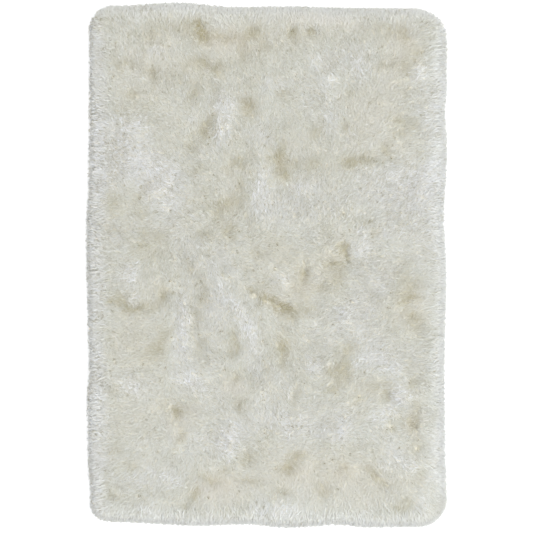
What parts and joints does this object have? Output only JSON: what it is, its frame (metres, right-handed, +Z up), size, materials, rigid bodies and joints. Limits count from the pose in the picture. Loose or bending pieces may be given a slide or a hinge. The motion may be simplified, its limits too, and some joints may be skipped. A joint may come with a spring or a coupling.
{
  "type": "shag rug",
  "caption": "Rectangular shag rug with rounded corners, deep white pile laid over in uneven hollows and mounds, and rim locks that fall to the floor.",
  "frame": {"origin": "on the floor under the middle of the rug's box", "axes": "+Y along the rug's length, +X along its width, +Z up out of the pile"},
  "size_m": [1.183, 1.719, 0.0508],
  "materials": {
    "pile": "long soft fibre pile, low sheen, off-white tips over a warmer ground"
  },
  "bodies": {
    "root": {"shag_rug": "pile"}
  },
  "joints": []
}
